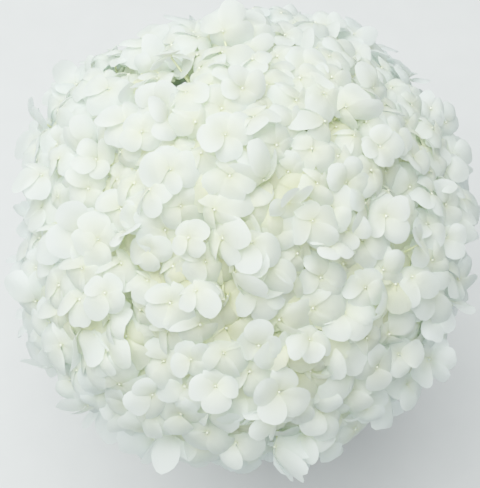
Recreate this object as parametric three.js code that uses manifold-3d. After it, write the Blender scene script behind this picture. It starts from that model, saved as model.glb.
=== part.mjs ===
// Hydrangeas in a vase: seven white mophead heads packed into one round bouquet over the rim of a
// plain glass vase, their green stems slanting past each other in the water below.
// Millimetres, +Z up. The origin is the middle of the vase's underside, and -Y is the front.
//
// Every head is a dome of four-lobed florets on short stalks round a smaller core. The domes are
// spheres that press into each other, and each head keeps to its own side of the flat seams
// where two spheres meet.

import * as THREE from "three";
import { mergeVertices } from "three/addons/utils/BufferGeometryUtils.js";
import Module from "manifold-3d";

const wasm = await Module();
wasm.setup();

// ---------------------------------------------------------------- driving dimensions

const VASE = {
  height: 150,
  baseRadius: 48,
  rimRadius: 56,
  wall: 4,
  floor: 12,
  footRound: 3,
  innerRound: 9,
  sides: 44,
};

const WATER = { level: 98, wallGap: 0.35 };

// The middle of the bouquet, on the vase's axis.
const BOUQUET_Z = 232;

// bearing: degrees anticlockwise from +X, seen from above. out and up: the dome's centre from the
// middle of the bouquet. radius: from the dome's centre to the florets' faces.
const HEADS = [
  { name: "head_crown", bearing: 0, out: 0, up: 34, radius: 92 },
  { name: "head_right_back", bearing: 22, out: 41, up: 2, radius: 90 },
  { name: "head_back", bearing: 70, out: 40, up: 10, radius: 91 },
  { name: "head_left_back", bearing: 145, out: 40, up: 8, radius: 91 },
  { name: "head_left_front", bearing: 228, out: 43, up: 0, radius: 90 },
  { name: "head_front", bearing: 283, out: 41, up: -4, radius: 90 },
  { name: "head_right_front", bearing: 330, out: 40, up: 0, radius: 87 },
];

const SEAM_GAP = 0.8; // between two heads

const CORE = { radius: 45, depth: 22, detail: 2 }; // depth: from the florets' faces to the core

const FLORET = {
  radius: 26,
  area: 1400, // of a dome, for each floret
  thickness: 1.2,
  notch: 0.58, // where two lobes meet, as a share of the radius
  bulgeAt: 0.56, // a lobe's highest point, as a share of the radius
  shoulder: 0.96, // the points that round a lobe's tip, as a share of the lobe's own reach
  shoulderDegrees: 25, // from a lobe's middle to its shoulders
  dip: 1, // of the floret's middle
  bulge: 1.6, // of a lobe's highest point
  droop: 2.4, // of a lobe's tip
  curl: 12, // how far a lobe that is pushed right back would stand up
  gap: 0.4, // between two florets
  lowest: -70, // from the middle of the bouquet
  widestDegrees: 74, // round the dome from the way that the head faces
  seamMargin: 8, // from the floret's centre to the head's edge
  stalkRadius: 2,
  stalkSunk: 6,
};

// How much the florets differ, up or down.
const UNEVEN = { depth: 4, lobeSize: 0.07, lobeDegrees: 5, leanDegrees: 10 };

const STEM = {
  radius: 3.6,
  sides: 8,
  steps: 9,
  holeGap: 0.35,
  intoHead: 11,
  straight: 8, // below the head's core
  floorGap: 0.3,
  waistRadius: 15,
  waistBelowRim: 6,
  footRadius: 31,
  spacingDegrees: 60,
  twistDegrees: 68, // from the waist to the foot
};

const SEED = 11;
const SMALLEST_EDGE = 0.08;
const LOBES = [0, 1, 2, 3];

// ---------------------------------------------------------------- helpers

const rad = THREE.MathUtils.degToRad;
const up = new THREE.Vector3(0, 0, 1);
const down = new THREE.Vector3(0, 0, -1);

/** A source of repeatable random numbers from -1 to 1. */
function seededRandom(seed) {
  let state = seed >>> 0;
  return () => {
    state = (state + 0x6d2b79f5) >>> 0;
    let mixed = Math.imul(state ^ (state >>> 15), 1 | state);
    mixed = (mixed + Math.imul(mixed ^ (mixed >>> 7), 61 | mixed)) ^ mixed;
    return ((mixed ^ (mixed >>> 14)) >>> 0) / 2 ** 31 - 1;
  };
}

/** A closed three.js geometry as a solid that can be joined and cut. */
function toSolid(geometry) {
  const bare = geometry.clone();
  bare.deleteAttribute("normal");
  bare.deleteAttribute("uv");
  const merged = mergeVertices(bare, 1e-4);
  return new wasm.Manifold(
    new wasm.Mesh({
      numProp: 3,
      vertProperties: new Float32Array(merged.attributes.position.array),
      triVerts: new Uint32Array(merged.index.array),
    }),
  );
}

/** A closed body from its corners and its triangles. */
function solidFrom(corners, triangles) {
  const geometry = new THREE.BufferGeometry().setFromPoints(corners);
  geometry.setIndex(triangles);
  return toSolid(geometry);
}

/** A solid's surface, without the tiny triangles that a cut leaves beside a corner. */
function toGeometry(solid) {
  const { vertProperties, triVerts } = solid.getMesh();
  const cut = new THREE.BufferGeometry();
  cut.setAttribute("position", new THREE.BufferAttribute(vertProperties, 3));
  cut.setIndex(new THREE.BufferAttribute(triVerts, 1));
  const geometry = mergeVertices(cut, SMALLEST_EDGE);
  const kept = [];
  for (let i = 0; i < geometry.index.count; i += 3) {
    const [a, b, c] = [0, 1, 2].map((corner) => geometry.index.getX(i + corner));
    if (a !== b && b !== c && c !== a) kept.push(a, b, c);
  }
  geometry.setIndex(kept);
  geometry.computeVertexNormals();
  return geometry;
}

/** Points of an arc from one angle to another, in degrees, for a lathe's profile. */
function arc(x, y, radius, from, to, steps) {
  return Array.from({ length: steps + 1 }, (_, i) => {
    const angle = rad(from + ((to - from) * i) / steps);
    return new THREE.Vector2(x + radius * Math.cos(angle), y + radius * Math.sin(angle));
  });
}

function turned(profile, sides) {
  return new THREE.LatheGeometry(profile, sides).rotateX(Math.PI / 2);
}

/** A round tube along a curve, in one step where the curve is a straight line. */
function tube(curve, radius) {
  const section = new THREE.Shape(
    arc(0, 0, radius, 0, 360 - 360 / STEM.sides, STEM.sides - 1),
  );
  return new THREE.ExtrudeGeometry(section, {
    extrudePath: curve,
    steps: curve.isLineCurve3 ? 1 : STEM.steps,
    bevelEnabled: false,
  });
}

// ---------------------------------------------------------------- vase and water

/** The inner wall's radius at a height. */
function innerRadius(z) {
  const slope = (VASE.rimRadius - VASE.baseRadius) / VASE.height;
  return VASE.baseRadius + slope * z - VASE.wall;
}

function vaseGeometry() {
  const { height, baseRadius, rimRadius, wall, floor, footRound, innerRound, sides } = VASE;
  const lip = wall / 2;
  const cornerZ = floor + innerRound;
  const cornerX = innerRadius(cornerZ) - innerRound;
  return turned(
    [
      new THREE.Vector2(0, 0),
      ...arc(baseRadius - footRound, footRound, footRound, -90, 0, 3),
      ...arc(rimRadius - lip, height - lip, lip, 0, 180, 4),
      ...arc(cornerX, cornerZ, innerRound, 0, -90, 4),
      new THREE.Vector2(0, floor),
    ],
    sides,
  );
}

function waterBody() {
  const { floor, innerRound, sides } = VASE;
  const gap = WATER.wallGap;
  const cornerZ = floor + innerRound;
  const cornerX = innerRadius(cornerZ) - innerRound;
  return toSolid(
    turned(
      [
        new THREE.Vector2(0, floor + gap),
        ...arc(cornerX, cornerZ, innerRound - gap, -90, 0, 4),
        new THREE.Vector2(innerRadius(WATER.level) - gap, WATER.level),
        new THREE.Vector2(0, WATER.level),
      ],
      sides,
    ),
  );
}

// ---------------------------------------------------------------- where the heads lie

const middle = new THREE.Vector3(0, 0, BOUQUET_Z);

const heads = HEADS.map((head) => {
  const outward = new THREE.Vector3(
    head.out * Math.cos(rad(head.bearing)),
    head.out * Math.sin(rad(head.bearing)),
    head.up,
  );
  const centre = middle.clone().add(outward);
  const facing = outward.clone().normalize();
  const core = centre
    .clone()
    .addScaledVector(facing, head.radius - CORE.depth - CORE.radius);
  return { ...head, centre, facing, core };
});

// A head's seams: the planes of the circles in which its sphere meets each other head's sphere.
for (const head of heads) {
  head.seams = heads
    .filter((other) => other !== head)
    .map((other) => {
      const normal = other.centre.clone().sub(head.centre);
      const apart = normal.length();
      normal.divideScalar(apart);
      const along =
        (apart * apart + head.radius ** 2 - other.radius ** 2) / (2 * apart);
      return { normal, limit: normal.dot(head.centre) + along - SEAM_GAP / 2 };
    });
}

/** How much of a step from a point inside some planes can be taken before it meets one. */
function shareInside(planes, from, step) {
  return planes.reduce((share, { normal, limit }) => {
    const rate = normal.dot(step);
    return rate > 0 ? Math.min(share, (limit - normal.dot(from)) / rate) : share;
  }, 1);
}

function coreSolid(head) {
  const ball = new THREE.IcosahedronGeometry(CORE.radius, CORE.detail);
  const at = ball.attributes.position;
  const step = new THREE.Vector3();
  for (let i = 0; i < at.count; i++) {
    step.fromBufferAttribute(at, i);
    step.multiplyScalar(shareInside(head.seams, head.core, step)).add(head.core);
    at.setXYZ(i, step.x, step.y, step.z);
  }
  return toSolid(ball);
}

// ---------------------------------------------------------------- florets

/** Moves a point to its head's dome, clear of the seams and of the bouquet's underside. */
function keepOnDome(head, at) {
  for (const { normal, limit } of head.seams) {
    const over = normal.dot(at) - limit + FLORET.seamMargin;
    if (over > 0) at.addScaledVector(normal, -over);
  }
  at.z = Math.max(at.z, middle.z + FLORET.lowest);
  at.sub(head.centre);
  const forward = head.radius * Math.cos(rad(FLORET.widestDegrees)) - at.dot(head.facing);
  if (forward > 0) at.addScaledVector(head.facing, forward);
  at.setLength(head.radius).add(head.centre);
}

/** Evenly spread points of a head's dome, one for each floret. */
function firstPlaces(head) {
  const samples = 900;
  const goldenAngle = Math.PI * (3 - Math.sqrt(5));
  const open = [];
  for (let i = 0; i < samples; i++) {
    const height = 1 - (2 * i + 1) / samples;
    const at = new THREE.Vector3()
      .setFromCylindricalCoords(Math.sqrt(1 - height * height), i * goldenAngle, height)
      .multiplyScalar(head.radius)
      .add(head.centre);
    const kept = at.clone();
    keepOnDome(head, kept);
    if (kept.distanceTo(at) < FLORET.seamMargin) open.push(at);
  }
  const area = (open.length / samples) * 4 * Math.PI * head.radius ** 2;
  const count = Math.round(area / FLORET.area);
  return Array.from({ length: count }, (_, i) => ({
    head,
    at: open[Math.floor(((i + 0.5) * open.length) / count)],
  }));
}

/** Florets spread evenly over all the domes: points that push each other apart. */
function spreadFlorets() {
  const florets = heads.flatMap(firstPlaces);
  const reach = 2 * FLORET.radius;
  const rounds = 200;
  const passes = 4; // to settle a point between the dome and the seams that it meets
  const between = new THREE.Vector3();
  for (let round = 0; round < rounds; round++) {
    const strength = 0.25 - (0.22 * round) / rounds;
    const pushes = florets.map(({ at }) => {
      const push = new THREE.Vector3();
      for (const other of florets) {
        between.subVectors(at, other.at);
        const distance = between.length();
        if (distance > 0 && distance < reach) {
          push.addScaledVector(between, ((reach - distance) / distance) * strength);
        }
      }
      return push;
    });
    florets.forEach(({ head, at }, i) => {
      at.add(pushes[i]);
      for (let pass = 0; pass < passes; pass++) keepOnDome(head, at);
    });
  }
  return florets;
}

/** The planes that a floret keeps to: its head's seams, and halfway to each floret near it. */
function planesAround(floret, florets) {
  const { head, at } = floret;
  const planes = [...head.seams];
  for (const other of florets) {
    const normal = other.at.clone().sub(at);
    const apart = normal.length();
    if (other === floret || other.head !== head || apart > 3 * FLORET.radius) continue;
    normal.divideScalar(apart);
    planes.push({ normal, limit: normal.dot(at) + apart / 2 - FLORET.gap / 2 });
  }
  return planes;
}

/** A point of a floret from its bearing, its distance from the middle and its height. */
function floretPoint(degrees, reach, height) {
  return new THREE.Vector3(reach, 0, height).applyAxisAngle(up, rad(degrees));
}

/** One floret's outline, a lobe at a time: shoulder, tip, shoulder, notch. */
function floretOutline(random) {
  const { radius, notch, shoulder, shoulderDegrees, dip, droop } = FLORET;
  return LOBES.flatMap((lobe) => {
    const size = radius * (1 + UNEVEN.lobeSize * random());
    const bearing = lobe * 90 + UNEVEN.lobeDegrees * random();
    return [
      floretPoint(bearing - shoulderDegrees, size * shoulder, -droop / 2),
      floretPoint(bearing, size, -droop),
      floretPoint(bearing + shoulderDegrees, size * shoulder, -droop / 2),
      floretPoint(lobe * 90 + 45, radius * notch, -dip),
    ];
  });
}

/** A four-lobed floret and the stalk that it stands on, bent clear of what is round it. */
function floretSolid({ head, at }, planes, random) {
  const outward = at.clone().sub(head.centre).normalize();
  const lean = new THREE.Vector3(random(), random(), random());
  lean.multiplyScalar(Math.tan(rad(UNEVEN.leanDegrees))).add(outward).normalize();
  const turn = new THREE.Quaternion()
    .setFromUnitVectors(up, lean)
    .multiply(new THREE.Quaternion().setFromAxisAngle(up, Math.PI * random()));

  const below = new THREE.Vector3(0, 0, -FLORET.thickness);
  const outline = floretOutline(random);
  const upper = [
    new THREE.Vector3(0, 0, -FLORET.dip),
    ...LOBES.map((lobe) =>
      floretPoint(lobe * 90, FLORET.radius * FLORET.bulgeAt, FLORET.bulge),
    ),
    ...outline,
  ];
  const lower = [
    ...outline.map((point) => point.clone().add(below)),
    ...LOBES.map((lobe) =>
      floretPoint(lobe * 90, FLORET.stalkRadius, -FLORET.dip - 2 * FLORET.thickness),
    ),
  ];
  const corners = [...upper, ...lower].map((point) => {
    const step = point.applyQuaternion(turn);
    const share = shareInside(planes, at, step);
    step.multiplyScalar(share).addScaledVector(outward, (1 - share) * FLORET.curl);
    return step.multiplyScalar(shareInside(planes, at, step)).add(at);
  });

  const count = outline.length;
  const top = 1 + LOBES.length; // the first corner of the upper outline
  const bottom = top + count; // the first corner of the lower outline
  const neck = bottom + count; // the stalk's first corner under the floret
  const root = neck + LOBES.length; // the stalk's first corner in the core
  const inward = head.core.clone().sub(at);
  inward.setLength(inward.length() - CORE.radius + FLORET.stalkSunk);
  for (const lobe of LOBES) {
    const corner = floretPoint(lobe * 90, FLORET.stalkRadius, 0).applyQuaternion(turn);
    corners.push(corner.add(at).add(inward));
  }

  const triangles = [root, root + 2, root + 1, root, root + 3, root + 2];
  for (let i = 0; i < count; i++) {
    const next = (i + 1) % count;
    const lobe = Math.floor(next / 4);
    triangles.push(1 + lobe, top + i, top + next);
    triangles.push(neck + lobe, bottom + next, bottom + i);
    triangles.push(top + i, bottom + i, bottom + next, top + i, bottom + next, top + next);
  }
  for (const lobe of LOBES) {
    const after = (lobe + 1) % LOBES.length;
    const notch = lobe * 4 + 3;
    triangles.push(0, 1 + lobe, top + notch, 0, top + notch, 1 + after);
    triangles.push(neck + lobe, neck + after, bottom + notch);
    triangles.push(neck + lobe, root + lobe, root + after);
    triangles.push(neck + lobe, root + after, neck + after);
  }
  return solidFrom(corners, triangles);
}

// ---------------------------------------------------------------- stems

/** A stem's line, from inside its head through the vase's neck to the vase's floor. */
function stemCurve(head, place, beyond = 0) {
  const footZ = VASE.floor + STEM.floorGap - beyond;
  const sunk = STEM.intoHead + beyond;
  if (head.out === 0) {
    const top = head.core.z - CORE.radius + sunk;
    return new THREE.LineCurve3(
      new THREE.Vector3(0, 0, top),
      new THREE.Vector3(0, 0, footZ),
    );
  }
  const around = (radius, degrees, z) =>
    new THREE.Vector3(radius, 0, z).applyAxisAngle(up, rad(degrees));
  const bearing = HEADS[1].bearing + STEM.spacingDegrees * place;
  const waist = around(STEM.waistRadius, bearing, VASE.height - STEM.waistBelowRim);
  const foot = around(STEM.footRadius, bearing + STEM.twistDegrees, footZ);
  const lean = foot.clone().sub(waist).angleTo(down);
  foot.z += STEM.radius * Math.sin(lean);
  const toWaist = waist.clone().sub(head.core).normalize();
  return new THREE.CatmullRomCurve3([
    head.core.clone().addScaledVector(toWaist, CORE.radius - sunk),
    head.core.clone().addScaledVector(toWaist, CORE.radius + STEM.straight),
    waist,
    waist.clone().lerp(foot, 0.5),
    foot,
  ]);
}

// ---------------------------------------------------------------- materials

const PETALS = { color: 0xe8f0ea, roughness: 0.7, metalness: 0 };
const GREEN_STEM = { color: 0x7f9a4c, roughness: 0.6, metalness: 0 };
const GLASS = {
  color: 0xe6f1f0,
  roughness: 0.05,
  metalness: 0,
  transparent: true,
  opacity: 0.35,
};
const CLEAR_WATER = {
  color: 0xd8ecea,
  roughness: 0.02,
  metalness: 0,
  transparent: true,
  opacity: 0.3,
};

// ---------------------------------------------------------------- the object

const group = new THREE.Group();

function addNode(name, geometry, finish) {
  const mesh = new THREE.Mesh(geometry, new THREE.MeshStandardMaterial(finish));
  mesh.name = name;
  group.add(mesh);
}

const random = seededRandom(SEED);
const florets = spreadFlorets();
for (const { head, at } of florets) {
  const outward = at.clone().sub(head.centre).normalize();
  at.addScaledVector(outward, UNEVEN.depth * random());
}
let water = waterBody();

heads.forEach((head, index) => {
  const place = index - 1; // round the vase's neck, after the crown's stem in its middle
  const stem = tube(stemCurve(head, place), STEM.radius);
  const hole = toSolid(
    tube(stemCurve(head, place, STEM.holeGap), STEM.radius + STEM.holeGap),
  );
  const own = florets.filter((floret) => floret.head === head);
  const bloom = wasm.Manifold.union([
    coreSolid(head),
    ...own.map((floret) => floretSolid(floret, planesAround(floret, own), random)),
  ]);
  addNode(head.name, toGeometry(bloom.subtract(hole)), PETALS);
  addNode(head.name.replace("head", "stem"), stem, GREEN_STEM);
  water = water.subtract(hole);
});

addNode("water", toGeometry(water), CLEAR_WATER);
addNode("vase", vaseGeometry(), GLASS);

export default group;
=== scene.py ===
"""White mophead hydrangeas in a clear glass vase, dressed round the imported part.

Metres, +Z up, in the part's own frame. Every head is built floret by floret on the same domes
as the part's heads. A floret is four cupped sepals, now and then five, round a bead, on a
green stalk.
"""

import math

import bmesh
import bpy
import numpy as np
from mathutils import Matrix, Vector, noise


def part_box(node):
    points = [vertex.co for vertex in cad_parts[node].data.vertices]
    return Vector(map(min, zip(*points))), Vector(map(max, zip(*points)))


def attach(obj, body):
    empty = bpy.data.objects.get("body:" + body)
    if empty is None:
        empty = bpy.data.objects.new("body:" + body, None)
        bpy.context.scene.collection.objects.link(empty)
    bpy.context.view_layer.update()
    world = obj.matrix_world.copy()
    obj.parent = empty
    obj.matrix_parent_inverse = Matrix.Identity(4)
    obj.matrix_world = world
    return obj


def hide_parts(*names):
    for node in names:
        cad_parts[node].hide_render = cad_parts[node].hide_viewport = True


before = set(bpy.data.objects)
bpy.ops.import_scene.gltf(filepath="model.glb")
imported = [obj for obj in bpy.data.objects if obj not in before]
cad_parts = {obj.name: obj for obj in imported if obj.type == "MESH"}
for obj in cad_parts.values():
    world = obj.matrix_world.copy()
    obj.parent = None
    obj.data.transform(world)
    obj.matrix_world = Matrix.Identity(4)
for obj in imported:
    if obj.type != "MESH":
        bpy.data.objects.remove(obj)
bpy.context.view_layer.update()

MM = 0.001
SEED = 20

# ---------------------------------------------------------------- the part's driving dimensions

BOUQUET_Z = 232 * MM

# name: bearing in degrees, then the dome's centre out and up from the bouquet's middle, and radius
HEADS = {
    "crown": (0, 0 * MM, 34 * MM, 92 * MM),
    "right_back": (22, 41 * MM, 2 * MM, 90 * MM),
    "back": (70, 40 * MM, 10 * MM, 91 * MM),
    "left_back": (145, 40 * MM, 8 * MM, 91 * MM),
    "left_front": (228, 43 * MM, 0 * MM, 90 * MM),
    "front": (283, 41 * MM, -4 * MM, 90 * MM),
    "right_front": (330, 40 * MM, 0 * MM, 87 * MM),
}

CORE_RADIUS = 45 * MM
CORE_DEPTH = 22 * MM

STEM_RADIUS = 3.6 * MM
STEM_INTO_HEAD = 11 * MM
STEM_STRAIGHT = 8 * MM
STEM_WAIST_RADIUS = 15 * MM
STEM_WAIST_BELOW_RIM = 6 * MM
STEM_FOOT_RADIUS = 31 * MM
STEM_SPACING = 60
STEM_TWIST = 68

VASE_WALL = 4 * MM
VASE_FLOOR = 12 * MM
VASE_BASE_RADIUS = 48 * MM

# ---------------------------------------------------------------- the florets

FLORET_RADIUS = 12.9 * MM
FLORET_AREA = 225 * MM * MM  # of a dome, for each outer floret

# How large each head's florets are, as a share of FLORET_RADIUS
FLORET_SIZES = {
    "crown": 0.94,
    "right_back": 0.94,
    "back": 0.92,
    "left_back": 0.94,
    "left_front": 1.03,
    "front": 1.06,
    "right_front": 1.02,
}
SEAM_MARGIN = 6 * MM  # how far florets' centres stay from the seams between heads
LOWEST = -70 * MM  # a floret's centre, from the bouquet's middle
WIDEST = 76  # degrees round the dome from the way that the head faces

SEAM_EASE = 7 * MM  # how softly one head's dome passes into the next's
OUTER_DEPTH = 8 * MM  # how far below their dome the outer florets lie
OUTER_UNEVEN = 4.5 * MM  # how far one may stand above or below that
WAVE_HEIGHT = 5.5 * MM  # how far the whole surface swells and sinks
WAVE_LENGTH = 38 * MM
INNER_DEPTH = 13 * MM
INNER_UNEVEN = 2.5 * MM
INNER_SHARE = 0.9  # inner florets for each outer one
OUTER_LEAN = 48  # degrees that a floret may lean at random
INNER_LEAN = 20
LEAN_SPREAD = 0.6  # of that lean's slope, along each axis
UPWARD = 0.8  # how much the florets turn towards the light above
HIGH_GAPS = 0.2  # the share of inner florets left out above, so that one sees in
LOW_GAPS = 0.45  # and low down
LOW_BELOW = 10 * MM  # from the bouquet's middle, where their number starts to change
LOW_FADE = 60 * MM
CREAMIEST = (0, -0.4, 0.92)  # the way that the bouquet's creamiest florets face: to the front and up
CREAM_SCALE = 0.75  # how creamy a floret is: its cosine to that way over this number,
CREAM_LESS = 0.15  # less this one

rng = np.random.default_rng(SEED)


def unit(v):
    return v / np.linalg.norm(v, axis=-1, keepdims=True)


def heading(bearing, reach, height):
    """A point from its bearing in degrees, its distance from the axis and its height."""
    angle = math.radians(bearing)
    return np.array([reach * math.cos(angle), reach * math.sin(angle), height])


# ---------------------------------------------------------------- where the heads lie


class Head:
    """One head: the dome that its florets lie on, its core, and its seams with the others."""

    def __init__(self, name, bearing, out, up, radius):
        self.name = name
        self.radius = radius
        self.out = out
        self.size = FLORET_SIZES[name]
        outward = heading(bearing, out, up)
        self.centre = outward + (0, 0, BOUQUET_Z)
        self.facing = unit(outward)
        self.core = self.centre + self.facing * (radius - CORE_DEPTH - CORE_RADIUS)
        self.normals = None
        self.limits = None

    def find_seams(self, heads):
        """The planes in which this head's sphere meets the others'."""
        normals, limits = [], []
        for other in heads:
            if other is self:
                continue
            way = other.centre - self.centre
            apart = np.linalg.norm(way)
            normal = way / apart
            along = (apart**2 + self.radius**2 - other.radius**2) / (2 * apart)
            normals.append(normal)
            limits.append(normal @ self.centre + along)
        self.normals = np.array(normals)
        self.limits = np.array(limits)

    def keep(self, points, radius, passes=4):
        """Moves points onto the dome, inside the seams and above the bouquet's underside."""
        points = points.copy()
        for _ in range(passes):
            for normal, limit in zip(self.normals, self.limits):
                over = np.maximum(points @ normal - limit + SEAM_MARGIN, 0)
                points -= over[:, None] * normal
            points[:, 2] = np.maximum(points[:, 2], BOUQUET_Z + LOWEST)
            arm = points - self.centre
            forward = radius * math.cos(math.radians(WIDEST)) - arm @ self.facing
            arm += np.maximum(forward, 0)[:, None] * self.facing
            points = unit(arm) * radius + self.centre
        return points


heads = [Head(name, *place) for name, place in HEADS.items()]
for head in heads:
    head.find_seams(heads)


def sphere_points(count):
    """Points spread evenly over a unit sphere."""
    i = np.arange(count)
    z = 1 - (2 * i + 1) / count
    angle = i * math.pi * (3 - math.sqrt(5))
    ring = np.sqrt(1 - z * z)
    return np.stack([ring * np.cos(angle), ring * np.sin(angle), z], 1)


TRIAL_PLACES = 3000
PUSH_REACH = 1.25  # of the side of a floret's square
PUSH_ROUNDS = 160
FIRST_PUSH = 0.25
PUSH_FALL = 0.22


def first_places(head, area, depth):
    """The open part of a head's dome, with about one place drawn on it for each floret."""
    radius = head.radius - depth
    points = sphere_points(TRIAL_PLACES) * radius + head.centre
    moved = np.linalg.norm(head.keep(points, radius, passes=1) - points, axis=1)
    open_points = points[moved < SEAM_MARGIN]
    area *= head.size**2
    count = round(4 * math.pi * radius**2 * len(open_points) / len(points) / area)
    return open_points[rng.permutation(len(open_points))[:count]]


def spread(area, depth, held=None):
    """Florets that push each other, and those already held, apart: (head numbers, places)."""
    starts = [first_places(head, area, depth) for head in heads]
    owner = np.repeat(np.arange(len(heads)), [len(points) for points in starts])
    points = np.concatenate(starts)
    reach = PUSH_REACH * math.sqrt(area)
    for turn in range(PUSH_ROUNDS):
        strength = FIRST_PUSH - PUSH_FALL * turn / PUSH_ROUNDS
        push = np.zeros_like(points)
        for others in (points,) if held is None else (points, held):
            between = points[:, None] - others[None]
            distance = np.linalg.norm(between, axis=2)
            pressed = np.where((distance > 0) & (distance < reach), reach - distance, 0)
            share = pressed / np.maximum(distance, 1e-9)
            push += (between * share[..., None]).sum(1) * strength
        points = points + push
        for number, head in enumerate(heads):
            mine = owner == number
            points[mine] = head.keep(points[mine], head.radius - depth)
    return owner, points


# ---------------------------------------------------------------- meshes


class Shape:
    """Vertices, faces and per-vertex values that become one mesh."""

    def __init__(self):
        self.points = []
        self.faces = []
        self.slots = []
        self.values = {}
        self.count = 0

    def add(self, points, faces, slot=0, **values):
        points = np.asarray(points, float)
        self.points.append(points)
        self.faces.extend(tuple(int(i) + self.count for i in face) for face in faces)
        self.slots.extend([slot] * len(faces))
        for name, value in values.items():
            column = np.broadcast_to(np.asarray(value, float), (len(points),))
            self.values.setdefault(name, []).append(column)
        self.count += len(points)

    def piece(self, name, materials, slot, replaces=()):
        mesh = bpy.data.meshes.new(name)
        mesh.from_pydata(np.concatenate(self.points).tolist(), [], self.faces)
        mesh.polygons.foreach_set("material_index", self.slots)
        mesh.polygons.foreach_set("use_smooth", [True] * len(self.faces))
        for key, columns in self.values.items():
            layer = mesh.attributes.new(key, "FLOAT", "POINT")
            layer.data.foreach_set("value", np.concatenate(columns).astype(np.float32))
        for material in materials:
            mesh.materials.append(material)
        mesh.update()
        piece = bpy.data.objects.new(name, mesh)
        bpy.context.scene.collection.objects.link(piece)
        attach(piece, "root")
        if replaces:
            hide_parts(*replaces)
        return piece


def grid_faces(rows, columns, closed=False):
    """Quads between neighbouring rows of points. closed joins each row's ends."""
    last = columns if closed else columns - 1
    return [
        (
            row * columns + i,
            row * columns + (i + 1) % columns,
            (row + 1) * columns + (i + 1) % columns,
            (row + 1) * columns + i,
        )
        for row in range(rows - 1)
        for i in range(last)
    ]


def frames_along(path):
    """(sides, ups) along a path, turning as little as they can."""
    tangents = unit(np.gradient(path, axis=0))
    side = unit(np.cross(tangents[0], (0.3, 0.9, 0.31)))
    sides = []
    for tangent in tangents:
        side = unit(side - tangent * (side @ tangent))
        sides.append(side)
    sides = np.array(sides)
    return sides, np.cross(tangents, sides)


def tube(path, radii, sides):
    """(points, faces) of a tube along a path, closed at both ends."""
    across, upward = frames_along(path)
    angle = np.linspace(0, 2 * math.pi, sides, endpoint=False)
    ring = (
        np.cos(angle)[None, :, None] * across[:, None]
        + np.sin(angle)[None, :, None] * upward[:, None]
    )
    radii = np.broadcast_to(np.asarray(radii, float).reshape(-1, 1), (len(path), sides))
    points = (path[:, None] + ring * radii[..., None]).reshape(-1, 3)
    faces = grid_faces(len(path), sides, closed=True)
    faces.append(tuple(reversed(range(sides))))
    faces.append(tuple((len(path) - 1) * sides + i for i in range(sides)))
    return points, faces


POLE = 0.12  # radians from a ball's pole to the small face that closes it


def ball(rings, sides, lobes=0.0):
    """(points, faces) of a sphere of radius 1, four-lobed where lobes is more than 0."""
    polar = np.linspace(0, math.pi, rings + 1)
    polar[0], polar[-1] = POLE, math.pi - POLE
    angle = np.linspace(0, 2 * math.pi, sides, endpoint=False)
    wide = np.sin(polar)[:, None] * (1 + lobes * np.cos(4 * angle))[None]
    points = np.stack(
        [
            wide * np.cos(angle),
            wide * np.sin(angle),
            np.broadcast_to(np.cos(polar)[:, None], wide.shape),
        ],
        -1,
    ).reshape(-1, 3)
    faces = [tuple(reversed(face)) for face in grid_faces(rings + 1, sides, closed=True)]
    faces.append(tuple(range(sides)))
    faces.append(tuple(rings * sides + i for i in reversed(range(sides))))
    return points, faces


# ---------------------------------------------------------------- one floret


# A sepal's measures, in its own length. Pairs are the least and the most.
HALF_WIDTHS = (62, 72)  # degrees either side of its middle line
WIDTH_DRAWN = 0.99  # of that, because at all of it the edge comes to nothing
EDGE_POWERS = (2.4, 3.2)  # how squarely its edge turns in at the sides
EDGE_WAVE = 0.03
NOTCHES = (-0.02, 0.05)  # how deep its tip is nicked
NOTCH_WIDTH = 0.16
BASE_GAP = 0.04  # from the floret's middle
RIPPLES = (0.02, 0.06)
RIPPLE_TURNS = (2, 5)
FOLD_DEPTH = 0.01  # along its middle line
FOLD_WIDTH = 0.06
ROLL = (8, 9)  # degrees, the mean and the spread

# How it rises, droops towards its tip and bends down at its sides: when half open, how much more
# when fully open, and how much at random
RISE = (0.5, 0.3, 0.14)
DROOP = (0.85, -0.3, 0.35)
CUP = (-0.7, 0.35, 0.22)

ROW_POWER = 0.85  # below 1, so rows crowd together towards the tip


class SepalGrid:
    """How finely a sepal is divided across and along."""

    def __init__(self, across, along):
        self.faces = grid_faces(along + 1, across + 1)
        self.across = np.sin(np.linspace(-1, 1, across + 1) * math.pi / 2)
        self.along = (np.arange(along + 1) / along) ** ROW_POWER


FINE, COARSE = SepalGrid(16, 5), SepalGrid(10, 4)


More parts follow.
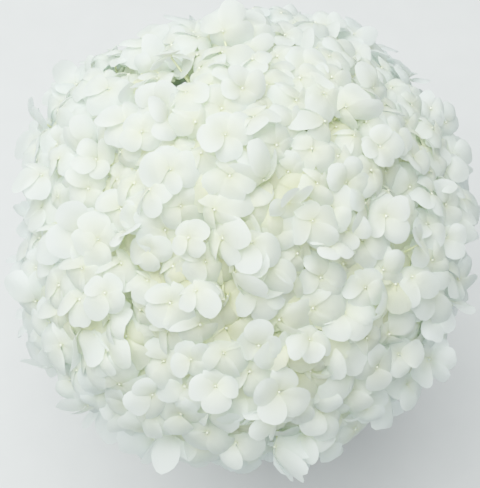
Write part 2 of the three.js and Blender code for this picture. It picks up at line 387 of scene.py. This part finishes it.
def sepal(length, grid, opening, rng):
    """(points, along, across) of one sepal that lies along +X from a floret's middle.

    opening runs from -1, where it bends back over its stalk, to 1, where it stands up as a cup.
    """
    width = math.radians(rng.uniform(*HALF_WIDTHS))
    angle = grid.across * width * WIDTH_DRAWN
    edge = (1 - np.abs(angle / width) ** rng.uniform(*EDGE_POWERS)) ** 0.5
    edge *= 1 - rng.uniform(*NOTCHES) * np.exp(-((angle / NOTCH_WIDTH) ** 2))
    edge *= 1 + EDGE_WAVE * np.sin(angle * 3 + rng.uniform(0, 6))
    reach = grid.along[:, None] * edge[None]
    x = BASE_GAP + reach * np.cos(angle)[None]
    y = reach * np.sin(angle)[None]
    rise = RISE[0] + RISE[1] * opening + rng.normal(0, RISE[2])
    droop = DROOP[0] + DROOP[1] * opening + rng.uniform(0, DROOP[2])
    cup = CUP[0] + CUP[1] * opening + rng.normal(0, CUP[2])
    z = rise * x - droop * x * x + cup * y * y * (0.4 + x)
    wave = np.sin(angle * rng.uniform(*RIPPLE_TURNS) + rng.uniform(0, 6))[None]
    z = z + rng.uniform(*RIPPLES) * wave * reach**2
    fold = FOLD_DEPTH * np.exp(-((y / FOLD_WIDTH) ** 2)) * np.sin(math.pi * np.clip(x, 0, 1))
    z = z - fold
    roll = math.radians(rng.normal(*ROLL))
    y, z = y * math.cos(roll) - z * math.sin(roll), y * math.sin(roll) + z * math.cos(roll)
    points = np.stack([x, y, z], -1).reshape(-1, 3) * length
    across = np.broadcast_to((angle / width)[None], reach.shape).reshape(-1)
    return points, reach.reshape(-1), across


def turned(points, degrees):
    """Points turned round +Z."""
    angle = math.radians(degrees)
    c, s = math.cos(angle), math.sin(angle)
    x, y, z = points.T
    return np.stack([c * x - s * y, s * x + c * y, z], 1)


def floret_basis(outward, lean, rng):
    """Axes of a floret that leans up and at random from its dome's outward way."""
    tilt = math.tan(math.radians(lean)) * rng.normal(0, LEAN_SPREAD, 3)
    normal = unit(outward + (0, 0, UPWARD) + tilt)
    side = unit(np.cross(normal, rng.normal(0, 1, 3)))
    return np.stack([side, np.cross(normal, side), normal])


def eased(places, owner):
    """(outward ways, lifts) of places on the domes, which fill the valleys between the heads."""
    arms = places[:, None] - np.array([head.centre for head in heads])[None]
    reach = np.linalg.norm(arms, axis=2)
    inside = np.array([head.radius for head in heads])[None] - reach
    share = np.exp((inside - inside[np.arange(len(owner)), owner][:, None]) / SEAM_EASE)
    outward = unit((arms / reach[..., None] * share[..., None]).sum(1))
    return outward, SEAM_EASE * np.log(share.sum(1))


class Florets:
    """All florets of one layer: where they are, which way they face, and how high they lie."""

    def __init__(self, owner, places, depth, uneven, lean, grid):
        self.owner = owner
        self.outward, lift = eased(places, owner)
        waves = [noise.noise(Vector(place) / WAVE_LENGTH) for place in places]
        height = rng.uniform(-1, 1, len(places)) * uneven + np.array(waves) * WAVE_HEIGHT
        self.at = places + self.outward * (height + lift)[:, None]
        self.rank = height - depth
        middle = unit(places - (0, 0, BOUQUET_Z)) @ unit(np.array(CREAMIEST))
        self.cream = np.clip(middle / CREAM_SCALE - CREAM_LESS, 0, 1)
        self.lean = lean
        self.grid = grid
        self.inner = grid is COARSE


SETTLE_MARGIN = 4 * MM
SETTLE_SLOPE = 0.4
SETTLE_REACH = 2.1 * FLORET_RADIUS


def settle(points, at, outward, rank, florets_at, florets_rank):
    """Lets sepals lie over the florets that stand lower and tuck under those that stand higher."""
    apart = np.linalg.norm(florets_at - at, axis=1)
    near = (apart > 1e-6) & (apart < SETTLE_REACH)
    way = (florets_at[near] - at) / apart[near][:, None]
    halfway = (florets_at[near] + at) / 2
    beyond = ((points[:, None] - halfway[None]) * way[None]).sum(2) + SETTLE_MARGIN
    beyond = np.clip(beyond, 0, 2 * SETTLE_MARGIN)
    over = florets_rank[near] < rank
    lift = (beyond * over[None]).max(1, initial=0) - (beyond * ~over[None]).max(1, initial=0)
    return points + outward * (lift * SETTLE_SLOPE)[:, None]


# A floret's measures. Pairs are the least and the most.
OUTER_SIZES = (0.82, 1.14)
INNER_SIZE = 1.15
SEPAL_SIZES = (0.88, 1.1)
OPENING = (0.05, 0.6)  # the mean and the spread of the outer florets' openings
FIVE_SEPALS = 0.05  # the share of florets with five sepals
SEPAL_TURN = 5  # degrees, how unevenly sepals stand round the middle
SEPAL_STEP = 0.35 * MM  # every other sepal lies this far above the middle, the rest below it
TINT_SPREAD = 0.25
BEAD = ball(5, 8, lobes=0.1)
BEAD_SIZES = (0.5, 0.85)  # its radius in millimetres
BEAD_SHAPE = (1.0, 1.0, 0.8)
BEAD_RISE = 0.4 * MM
STALK_RADII = (0.55, 0.9)  # in millimetres, under its floret and at the core
STALK_BOW = 1.6 * MM
STALK_INTO_CORE = 8 * MM
STALK_BELOW = 0.5 * MM  # where it starts under its floret
STALK_STEPS = 5
STALK_SIDES = 5


def add_floret(sepals, greens, florets, index, everything):
    """One floret with its bead on the sepals' shape, and its stalk on the greens' shape."""
    head = heads[florets.owner[index]]
    at, outward, rank = florets.at[index], florets.outward[index], florets.rank[index]
    basis = floret_basis(outward, florets.lean, rng)
    size = head.size * FLORET_RADIUS
    size *= INNER_SIZE if florets.inner else rng.uniform(*OUTER_SIZES)
    opening = 0 if florets.inner else np.clip(rng.normal(*OPENING), -1, 1)
    tint = rng.uniform(0, 1)
    look = {"inner": florets.inner, "cream": florets.cream[index]}
    count = 5 if rng.uniform() < FIVE_SEPALS else 4
    first = rng.uniform(0, 360)
    for k in range(count):
        length = size * rng.uniform(*SEPAL_SIZES)
        points, along, across = sepal(length, florets.grid, opening, rng)
        points[:, 2] += SEPAL_STEP if k % 2 else -SEPAL_STEP
        way = first + k * 360 / count + rng.normal(0, SEPAL_TURN)
        points = turned(points, way) @ basis + at
        points = settle(points, at, outward, rank, *everything)
        shade = np.clip(tint + rng.uniform(-TINT_SPREAD, TINT_SPREAD), 0, 1)
        sepals.add(points, florets.grid.faces, 0, along=along, across=across, tint=shade, **look)
    bead, bead_faces = BEAD
    bead = bead * BEAD_SHAPE * MM * rng.uniform(*BEAD_SIZES) + (0, 0, BEAD_RISE)
    sepals.add(bead @ basis + at, bead_faces, 1, along=0, across=0, tint=tint, **look)

    inward = head.core + unit(at - head.core) * (CORE_RADIUS - STALK_INTO_CORE)
    steps = np.linspace(0, 1, STALK_STEPS)[:, None]
    bow = rng.normal(0, STALK_BOW, 3)
    path = at - basis[2] * STALK_BELOW + (inward - at) * steps + bow * np.sin(math.pi * steps)
    radii = np.linspace(*STALK_RADII, STALK_STEPS) * MM
    depth = steps[:, 0].repeat(STALK_SIDES)
    greens.add(*tube(path, radii, STALK_SIDES), 0, depth=depth)


# ---------------------------------------------------------------- materials


def new_material(name):
    material = bpy.data.materials.new(name)
    material.use_nodes = True
    tree = material.node_tree
    return material, tree, tree.nodes["Principled BSDF"]


def feed(tree, socket, value):
    """Sets a socket to a value, or links another socket to it."""
    if isinstance(value, bpy.types.NodeSocket):
        tree.links.new(value, socket)
    else:
        socket.default_value = value


def node(tree, kind, **inputs):
    """A shader node with its values or links set by the names of its sockets."""
    made = tree.nodes.new("ShaderNode" + kind)
    for key, value in inputs.items():
        feed(tree, made.inputs[key], value)
    return made


def value_of(tree, name):
    """The socket with one of the values that a shape's vertices carry."""
    attribute = tree.nodes.new("ShaderNodeAttribute")
    attribute.attribute_name = name
    return attribute.outputs["Fac"]


def ramp(tree, factor, *stops):
    """A colour ramp from (place, colour) stops."""
    made = tree.nodes.new("ShaderNodeValToRGB")
    elements = made.color_ramp.elements
    while len(elements) < len(stops):
        elements.new(0.5)
    for element, (place, colour) in zip(elements, stops):
        element.position = place
        element.color = (*colour, 1)
    tree.links.new(factor, made.inputs["Fac"])
    return made.outputs["Color"]


def mixed(tree, factor, first, second, blend="MIX"):
    """The colour between two colours, or sockets with them."""
    made = tree.nodes.new("ShaderNodeMix")
    made.data_type = "RGBA"
    made.blend_type = blend
    feed(tree, made.inputs[0], factor)
    for number, colour in ((6, first), (7, second)):
        if not isinstance(colour, bpy.types.NodeSocket):
            colour = (*colour, 1)
        feed(tree, made.inputs[number], colour)
    return made.outputs[2]


def math_node(tree, operation, first, second):
    made = tree.nodes.new("ShaderNodeMath")
    made.operation = operation
    feed(tree, made.inputs[0], first)
    feed(tree, made.inputs[1], second)
    return made.outputs[0]


def bumped(tree, height, strength, distance):
    bump = node(tree, "Bump", Height=height, Strength=strength, Distance=distance)
    return bump.outputs["Normal"]


THROUGH = 0.5  # the share of light that passes through a sepal, not back from it


def sepal_material():
    """Silky white, greener at its base, with painted cream shade towards its base and on the inner
    florets deep in the gaps, creamier facing front and up, faintly veined.
    """
    material, tree, shader = new_material("sepal")
    along, across = value_of(tree, "along"), value_of(tree, "across")
    tint, inner, cream = (value_of(tree, name) for name in ("tint", "inner", "cream"))
    place = tree.nodes.new("ShaderNodeTexCoord").outputs["Object"]

    # Both ramps are greener at each sepal's base, as a real sepal is. They also carry a painted
    # cream shade from the base to mid-blade, where shade falls in the valleys between sepals.
    white = ramp(
        tree,
        along,
        (0.0, (0.825, 0.845, 0.67)),
        (0.12, (0.885, 0.905, 0.845)),
        (0.45, (0.90, 0.935, 0.93)),
        (0.85, (0.908, 0.94, 0.95)),
    )
    creamy = ramp(
        tree,
        along,
        (0.0, (0.85, 0.85, 0.60)),
        (0.14, (0.905, 0.915, 0.775)),
        (0.45, (0.921, 0.936, 0.85)),
        (0.85, (0.922, 0.95, 0.945)),
    )
    blade = mixed(tree, cream, white, creamy)
    cool = mixed(tree, tint, (0.985, 1.0, 0.975), (0.975, 0.995, 1.0))
    colour = mixed(tree, 1.0, blade, cool, "MULTIPLY")
    # Painted shade: the inner florets, deep in the gaps between the outer ones, are darkened to
    # cream, more so on those facing front and up.
    inner_painted_shade = mixed(tree, cream, (0.975, 0.978, 0.90), (1.0, 0.982, 0.84))
    colour = mixed(tree, inner, colour, mixed(tree, 1.0, colour, inner_painted_shade, "MULTIPLY"))

    fan = node(tree, "CombineXYZ", X=math_node(tree, "MULTIPLY", across, 5.5), Y=along).outputs[0]
    veins = node(tree, "TexWave", Vector=fan, Scale=1.0, Distortion=1.6, Detail=2.0)
    faint = math_node(tree, "MULTIPLY", veins.outputs["Fac"], 0.05)
    colour = mixed(tree, faint, colour, (0.72, 0.78, 0.60))
    mottle = node(tree, "TexNoise", Vector=place, Scale=260.0, Detail=3.0).outputs["Fac"]
    colour = mixed(tree, math_node(tree, "MULTIPLY", mottle, 0.06), colour, (0.78, 0.84, 0.74))

    grain = node(tree, "TexNoise", Vector=place, Scale=1400.0, Detail=2.0).outputs["Fac"]
    relief = math_node(tree, "ADD", math_node(tree, "MULTIPLY", veins.outputs["Fac"], 0.8), grain)
    normal = bumped(tree, relief, 0.25, 0.00025)

    tree.links.new(colour, shader.inputs["Base Color"])
    tree.links.new(normal, shader.inputs["Normal"])
    shader.inputs["Roughness"].default_value = 0.62
    shader.inputs["Specular IOR Level"].default_value = 0.35
    through = node(tree, "BsdfTranslucent", Color=colour)
    blend = node(tree, "MixShader", Fac=THROUGH)
    tree.links.new(shader.outputs[0], blend.inputs[1])
    tree.links.new(through.outputs[0], blend.inputs[2])
    tree.links.new(blend.outputs[0], tree.nodes["Material Output"].inputs["Surface"])
    return material


def bead_material():
    material, tree, shader = new_material("bead")
    place = tree.nodes.new("ShaderNodeTexCoord").outputs["Object"]
    spots = node(tree, "TexNoise", Vector=place, Scale=900.0, Detail=2.0).outputs["Fac"]
    colour = ramp(tree, spots, (0.35, (0.76, 0.80, 0.62)), (0.65, (0.84, 0.865, 0.74)))
    tree.links.new(colour, shader.inputs["Base Color"])
    tree.links.new(bumped(tree, spots, 0.4, 0.0003), shader.inputs["Normal"])
    shader.inputs["Roughness"].default_value = 0.7
    return material


def stalk_material():
    material, tree, shader = new_material("stalk")
    place = tree.nodes.new("ShaderNodeTexCoord").outputs["Object"]
    spots = node(tree, "TexNoise", Vector=place, Scale=160.0, Detail=3.0).outputs["Fac"]
    tone = mixed(tree, value_of(tree, "depth"), (0.74, 0.77, 0.50), (0.57, 0.62, 0.33))
    colour = mixed(tree, math_node(tree, "MULTIPLY", spots, 0.3), tone, (0.62, 0.66, 0.36))
    tree.links.new(colour, shader.inputs["Base Color"])
    tree.links.new(bumped(tree, spots, 0.3, 0.0004), shader.inputs["Normal"])
    shader.inputs["Roughness"].default_value = 0.55
    return material


def stem_material():
    material, tree, shader = new_material("stem")
    place = tree.nodes.new("ShaderNodeTexCoord").outputs["Object"]
    drawn = node(tree, "Mapping", Vector=place, Scale=(1.0, 1.0, 0.12)).outputs[0]
    streaks = node(tree, "TexNoise", Vector=drawn, Scale=420.0, Detail=4.0).outputs["Fac"]
    tone = ramp(tree, streaks, (0.3, (0.13, 0.24, 0.05)), (0.7, (0.26, 0.39, 0.11)))
    pores = node(tree, "TexVoronoi", Vector=drawn, Scale=260.0)
    dots = ramp(tree, pores.outputs["Distance"], (0.10, (1, 1, 1)), (0.2, (0, 0, 0)))
    colour = mixed(tree, dots, tone, (0.36, 0.33, 0.16))
    scar = value_of(tree, "scar")
    colour = mixed(tree, scar, colour, (0.42, 0.44, 0.24))
    relief = math_node(tree, "ADD", streaks, math_node(tree, "MULTIPLY", dots, 0.6))
    tree.links.new(colour, shader.inputs["Base Color"])
    tree.links.new(bumped(tree, relief, 0.35, 0.0005), shader.inputs["Normal"])
    shader.inputs["Roughness"].default_value = 0.42
    return material


def cut_material():
    """The pale, mottled wood of a cut stem."""
    material, tree, shader = new_material("stem_cut")
    place = tree.nodes.new("ShaderNodeTexCoord").outputs["Object"]
    spots = node(tree, "TexNoise", Vector=place, Scale=1500.0, Detail=2.0).outputs["Fac"]
    colour = ramp(tree, spots, (0.3, (0.52, 0.58, 0.34)), (0.7, (0.74, 0.76, 0.56)))
    tree.links.new(colour, shader.inputs["Base Color"])
    shader.inputs["Roughness"].default_value = 0.7
    return material


def glass_material():
    material, tree, shader = new_material("vase_glass")
    place = tree.nodes.new("ShaderNodeTexCoord").outputs["Object"]
    flow = node(tree, "Mapping", Vector=place, Scale=(1.0, 1.0, 0.3)).outputs[0]
    ripple = node(tree, "TexNoise", Vector=flow, Scale=22.0, Detail=1.0).outputs["Fac"]
    tree.links.new(bumped(tree, ripple, 0.06, 0.002), shader.inputs["Normal"])
    shader.inputs["Base Color"].default_value = (0.975, 0.992, 0.985, 1)
    shader.inputs["Roughness"].default_value = 0.0
    shader.inputs["IOR"].default_value = 1.5
    shader.inputs["Transmission Weight"].default_value = 1.0
    return material


def water_material():
    material, tree, shader = new_material("water")
    place = tree.nodes.new("ShaderNodeTexCoord").outputs["Object"]
    ripple = node(tree, "TexNoise", Vector=place, Scale=30.0, Detail=1.0).outputs["Fac"]
    tree.links.new(bumped(tree, ripple, 0.04, 0.002), shader.inputs["Normal"])
    shader.inputs["Base Color"].default_value = (0.97, 0.99, 0.975, 1)
    shader.inputs["Roughness"].default_value = 0.0
    shader.inputs["IOR"].default_value = 1.333
    shader.inputs["Transmission Weight"].default_value = 1.0
    return material


SEPAL, BEAD_GREEN, STALK = sepal_material(), bead_material(), stalk_material()
STEM, STEM_CUT = stem_material(), cut_material()

# ---------------------------------------------------------------- the heads

outer_owner, outer_places = spread(FLORET_AREA, OUTER_DEPTH)
inner_owner, inner_places = spread(FLORET_AREA / INNER_SHARE, INNER_DEPTH, outer_places)
lowness = np.clip((BOUQUET_Z + LOW_BELOW - inner_places[:, 2]) / LOW_FADE, 0, 1)
gaps = HIGH_GAPS + (LOW_GAPS - HIGH_GAPS) * lowness
kept = rng.uniform(0, 1, len(inner_owner)) > gaps
inner_owner, inner_places = inner_owner[kept], inner_places[kept]
outer = Florets(outer_owner, outer_places, OUTER_DEPTH, OUTER_UNEVEN, OUTER_LEAN, FINE)
inner = Florets(inner_owner, inner_places, INNER_DEPTH, INNER_UNEVEN, INNER_LEAN, COARSE)
everything = (
    np.concatenate([outer.at, inner.at]),
    np.concatenate([outer.rank, inner.rank]),
)


CORE_BELOW = 3 * MM  # how much less a core's radius is than the part's
CORE_LUMPS = 0.10
LUMPS_ACROSS = 3.2
SEAM_GAP = 1.5 * MM  # from a core to a seam
BUD = ball(4, 6)
BUDS = 90
BUD_SIZES = (1.1, 2.0)  # radii in millimetres
BUD_SCATTER = 1 * MM
BUD_DEPTHS = (0.0, 0.7)  # how dark it is, from the outermost stalks' tone to the core's


def add_core(greens, head):
    """The tight green middle of a head: a lumpy body set with closed buds."""
    made = bmesh.new()
    bmesh.ops.create_icosphere(made, subdivisions=4, radius=1)
    faces = [[v.index for v in face.verts] for face in made.faces]
    ways = np.array([v.co[:] for v in made.verts])
    made.free()
    elsewhere = Vector(head.centre) * 40
    lumps = np.array([noise.noise(Vector(way) * LUMPS_ACROSS + elsewhere) for way in ways])
    reach = (CORE_RADIUS - CORE_BELOW) * (1 + CORE_LUMPS * lumps)
    steps = ways * reach[:, None]
    slack = head.limits - SEAM_GAP - head.normals @ head.core
    rate = steps @ head.normals.T
    share = np.where(rate > 0, slack / np.maximum(rate, 1e-9), 1).min(1)
    points = head.core + steps * np.minimum(share, 1)[:, None]
    greens.add(points, faces, 0, depth=1)
    bud, bud_faces = BUD
    for way in sphere_points(BUDS):
        nearest = np.argmax(ways @ way)
        if share[nearest] < 1:
            continue
        size = rng.uniform(*BUD_SIZES) * MM
        at = points[nearest] + way * size * 0.5 + rng.normal(0, BUD_SCATTER, 3)
        greens.add(bud * size + at, bud_faces, 0, depth=rng.uniform(*BUD_DEPTHS))


for number, head in enumerate(heads):
    sepals, greens = Shape(), Shape()
    for florets in (outer, inner):
        for index in np.flatnonzero(florets.owner == number):
            add_floret(sepals, greens, florets, index, everything)
    add_core(greens, head)
    sepals.piece(f"florets_{head.name}", [SEPAL, BEAD_GREEN], "sepals", [f"head_{head.name}"])
    greens.piece(f"branches_{head.name}", [STALK], "stems")

# ---------------------------------------------------------------- stems

vase_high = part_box("vase")[1]
VASE_HEIGHT = vase_high.z
VASE_RIM_RADIUS = vase_high.x
STRAIGHT_SAMPLES = 60  # points along the crown's straight stem
CURVE_SAMPLES = 16  # points between two knots of a curved one


def catmull_rom(knots, samples):
    """Points along a centripetal Catmull-Rom curve through the knots."""
    knots = np.array(knots)
    padded = np.concatenate([[2 * knots[0] - knots[1]], knots, [2 * knots[-1] - knots[-2]]])
    path = []
    for p0, p1, p2, p3 in zip(padded, padded[1:], padded[2:], padded[3:]):
        d0, d1, d2 = (math.sqrt(np.linalg.norm(b - a)) for a, b in ((p0, p1), (p1, p2), (p2, p3)))
        t1 = ((p1 - p0) / d0 - (p2 - p0) / (d0 + d1) + (p2 - p1) / d1) * d1
        t2 = ((p2 - p1) / d1 - (p3 - p1) / (d1 + d2) + (p3 - p2) / d2) * d1
        s = np.linspace(0, 1, samples, endpoint=False)[:, None]
        path.append(
            p1 + t1 * s + (3 * (p2 - p1) - 2 * t1 - t2) * s**2 + (2 * (p1 - p2) + t1 + t2) * s**3
        )
    path.append(knots[-1:])
    return np.concatenate(path)


def stem_path(head, place):
    """The line of a head's stem, as in the part. place is its number round the ring of stems."""
    foot_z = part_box(f"stem_{head.name}")[0].z
    if head.out == 0:
        top = head.core[2] - CORE_RADIUS + STEM_INTO_HEAD
        return np.linspace((0, 0, top), (0, 0, foot_z), STRAIGHT_SAMPLES)
    bearing = HEADS["right_back"][0] + STEM_SPACING * place
    waist = heading(bearing, STEM_WAIST_RADIUS, VASE_HEIGHT - STEM_WAIST_BELOW_RIM)
    foot = heading(bearing + STEM_TWIST, STEM_FOOT_RADIUS, foot_z)
    lean = unit(foot - waist)
    foot[2] += STEM_RADIUS * math.sqrt(1 - lean[2] ** 2)
    way = unit(waist - head.core)
    return catmull_rom(
        [
            head.core + way * (CORE_RADIUS - STEM_INTO_HEAD),
            head.core + way * (CORE_RADIUS + STEM_STRAIGHT),
            waist,
            (waist + foot) / 2,
            foot,
        ],
        CURVE_SAMPLES,
    )


STEM_SIDES = 20
STEM_SHRINK = (0.9, 0.99)  # of the part's radius, at the top and at the foot
SCAR_PLACES = ((0.35, 0.5), (0.7, 0.85))  # where leaves were cut off, as shares of its length
SCAR_LENGTH = 2.2 * MM
SCAR_SWELL = 0.1
CUT_SLANT = 0.9

for number, head in enumerate(heads):
    path = stem_path(head, number - 1)
    length = np.concatenate([[0], np.cumsum(np.linalg.norm(np.diff(path, axis=0), axis=1))])
    radii = STEM_RADIUS * np.linspace(*STEM_SHRINK, len(path))
    scar = np.zeros(len(path))
    for places in SCAR_PLACES:
        near = np.exp(-(((length - rng.uniform(*places) * length[-1]) / SCAR_LENGTH) ** 2))
        radii = radii * (1 + SCAR_SWELL * near)
        scar = np.maximum(scar, near)
    points, faces = tube(path, radii, STEM_SIDES)
    slant = (points[-STEM_SIDES:] - path[-1]) @ unit(rng.normal(0, 1, 3) * (1, 1, 0))
    slant = (slant - slant.min()) * CUT_SLANT
    points[-STEM_SIDES:] -= unit(path[-1] - path[-2]) * slant[:, None]
    stem = Shape()
    stem.add(points, faces, 0, scar=scar.repeat(STEM_SIDES))
    stem.slots[-1] = 1  # the cut end
    stem.piece(f"green_stem_{head.name}", [STEM, STEM_CUT], "stems", [f"stem_{head.name}"])

# ---------------------------------------------------------------- vase and water

VASE_SIDES = 128


def arc(x, z, radius, start, end, steps):
    """Points of a profile's rounded corner, from its middle, radius and two angles in degrees."""
    angle = np.radians(np.linspace(start, end, steps + 1))
    return list(zip(x + radius * np.cos(angle), z + radius * np.sin(angle)))


def turned_body(profile):
    """(points, faces) of a profile turned round the axis. It starts and ends at the axis."""
    profile = np.array(profile)
    angle = np.linspace(0, 2 * math.pi, VASE_SIDES, endpoint=False)
    points = np.stack(
        [
            profile[:, 0, None] * np.cos(angle),
            profile[:, 0, None] * np.sin(angle),
            np.broadcast_to(profile[:, 1, None], (len(profile), VASE_SIDES)),
        ],
        -1,
    ).reshape(-1, 3)
    faces = grid_faces(len(profile), VASE_SIDES, closed=True)
    last = (len(profile) - 1) * VASE_SIDES
    faces.append(tuple(reversed(range(VASE_SIDES))))
    faces.append(tuple(last + i for i in range(VASE_SIDES)))
    return points, faces


def inner_radius(z):
    """From the vase's axis to its inner face at a height."""
    slope = (VASE_RIM_RADIUS - VASE_BASE_RADIUS) / VASE_HEIGHT
    return VASE_BASE_RADIUS + slope * z - VASE_WALL


FOOT_ROUND = 3 * MM
INNER_ROUND = 9 * MM
LIP = VASE_WALL / 2
TINY = 0.5 * MM  # the radius of the small face that closes a turned body at its axis

corner_z = VASE_FLOOR + INNER_ROUND
corner_x = inner_radius(corner_z) - INNER_ROUND
glass = Shape()
glass.add(
    *turned_body(
        [(TINY, 0)]
        + arc(VASE_BASE_RADIUS - FOOT_ROUND, FOOT_ROUND, FOOT_ROUND, -90, 0, 6)
        + arc(VASE_RIM_RADIUS - LIP, VASE_HEIGHT - LIP, LIP, 0, 180, 10)
        + arc(corner_x, corner_z, INNER_ROUND, 0, -90, 10)
        + [(TINY, VASE_FLOOR)]
    )
)
glass.piece("clear_vase", [glass_material()], "glass", ["vase"])

# The water wets the glass: it reaches a hair into it, and climbs a little at its edge.
WET = 0.1 * MM
MENISCUS = 1.6 * MM
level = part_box("water")[1].z
edge = inner_radius(level) + WET
water = Shape()
water.add(
    *turned_body(
        [(TINY, VASE_FLOOR - WET)]
        + arc(corner_x, corner_z, INNER_ROUND + WET, -90, 0, 10)
        + [(inner_radius(level + MENISCUS) + WET, level + MENISCUS)]
        + arc(edge - MENISCUS, level + MENISCUS, MENISCUS, -5, -90, 6)
        + [(TINY, level)]
    )
)
water.piece("clear_water", [water_material()], "water", ["water"])

# ---------------------------------------------------------------- floor, light and camera


FLOOR_HALF = 12.0
FLOOR_Z = -0.4 * MM  # a hair of air under the glass, as under a real one


def build_floor():
    mesh = bpy.data.meshes.new("floor")
    ways = ((-1, -1), (1, -1), (1, 1), (-1, 1))
    corners = [(x * FLOOR_HALF, y * FLOOR_HALF, FLOOR_Z) for x, y in ways]
    mesh.from_pydata(corners, [], [(0, 1, 2, 3)])
    material, tree, shader = new_material("floor")
    place = tree.nodes.new("ShaderNodeTexCoord").outputs["Object"]
    spots = node(tree, "TexNoise", Vector=place, Scale=40.0, Detail=2.0).outputs["Fac"]
    colour = ramp(tree, spots, (0.3, (0.665, 0.685, 0.695)), (0.7, (0.685, 0.705, 0.715)))
    tree.links.new(colour, shader.inputs["Base Color"])
    shader.inputs["Roughness"].default_value = 0.9
    mesh.materials.append(material)
    floor = bpy.data.objects.new("floor", mesh)
    bpy.context.scene.collection.objects.link(floor)


KEY_AT = Vector((-0.33, 0.03, 1.48))
KEY_SIZE = 1.4
KEY_POWER = 21.1
KEY_COLOUR = (0.96, 1.0, 0.96)


def build_key_light():
    """One wide soft light, above and to the left."""
    light = bpy.data.lights.new("key", "AREA")
    light.size = KEY_SIZE
    light.energy = KEY_POWER
    light.color = KEY_COLOUR
    lamp = bpy.data.objects.new("key", light)
    lamp.location = KEY_AT
    towards = Vector((0, 0, BOUQUET_Z)) - KEY_AT
    lamp.rotation_euler = towards.to_track_quat("-Z", "Y").to_euler()
    bpy.context.scene.collection.objects.link(lamp)


SKY_STRENGTH = 0.40


def build_world():
    """A pale sky, dimmer towards the horizon."""
    world = bpy.data.worlds.new("studio")
    world.use_nodes = True
    tree = world.node_tree
    background = tree.nodes["Background"]
    way = tree.nodes.new("ShaderNodeTexCoord").outputs["Generated"]
    height = node(tree, "SeparateXYZ", Vector=way).outputs["Z"]
    sky = ramp(tree, height, (0.0, (0.61, 0.65, 0.68)), (0.7, (0.955, 0.985, 0.995)))
    tree.links.new(sky, background.inputs["Color"])
    background.inputs["Strength"].default_value = SKY_STRENGTH
    bpy.context.scene.world = world


# The photograph looks down on the bouquet from its front.
CAMERA_RISE = math.radians(62)
CAMERA_AWAY = 0.66
CAMERA_LENS = 86.2
CAMERA_SENSOR = 36  # in millimetres, as the lens is
CAMERA_NEAR = 0.01
AIM = Vector((-0.001, -0.0044, BOUQUET_Z - 0.0063))


def build_camera():
    camera = bpy.data.cameras.new("camera")
    camera.lens = CAMERA_LENS
    camera.sensor_width = CAMERA_SENSOR
    camera.clip_start = CAMERA_NEAR
    eye = bpy.data.objects.new("camera", camera)
    back = Vector((0, -math.cos(CAMERA_RISE), math.sin(CAMERA_RISE)))
    eye.location = AIM + back * CAMERA_AWAY
    eye.rotation_euler = (-back).to_track_quat("-Z", "Y").to_euler()
    bpy.context.scene.collection.objects.link(eye)
    bpy.context.scene.camera = eye


# The photograph is bright, and its lightest tones crowd together below white.
SHOULDER = 0.515
WHITE = 1.25
TONE_PLACES = (0.03, 0.08, 0.16, 0.28, 0.42, 0.58, 0.78)


def set_tones():
    """A curve that lifts the middle tones and flattens towards white."""
    view = bpy.context.scene.view_settings
    view.view_transform = "Standard"
    view.use_curve_mapping = True
    mapping = view.curve_mapping
    mapping.white_level = (WHITE, WHITE, WHITE)
    points = mapping.curves[3].points
    for place in TONE_PLACES:
        points.new(place, (1 + SHOULDER) * place / (place + SHOULDER))
    mapping.update()


build_floor()
build_world()
build_key_light()
build_camera()
set_tones()
# Light goes on among so many white sepals, and through the glass and water behind each other,
# for longer than Blender lets it by default.
cycles = bpy.context.scene.cycles
cycles.max_bounces = 24
cycles.diffuse_bounces = 16
cycles.transmission_bounces = 24
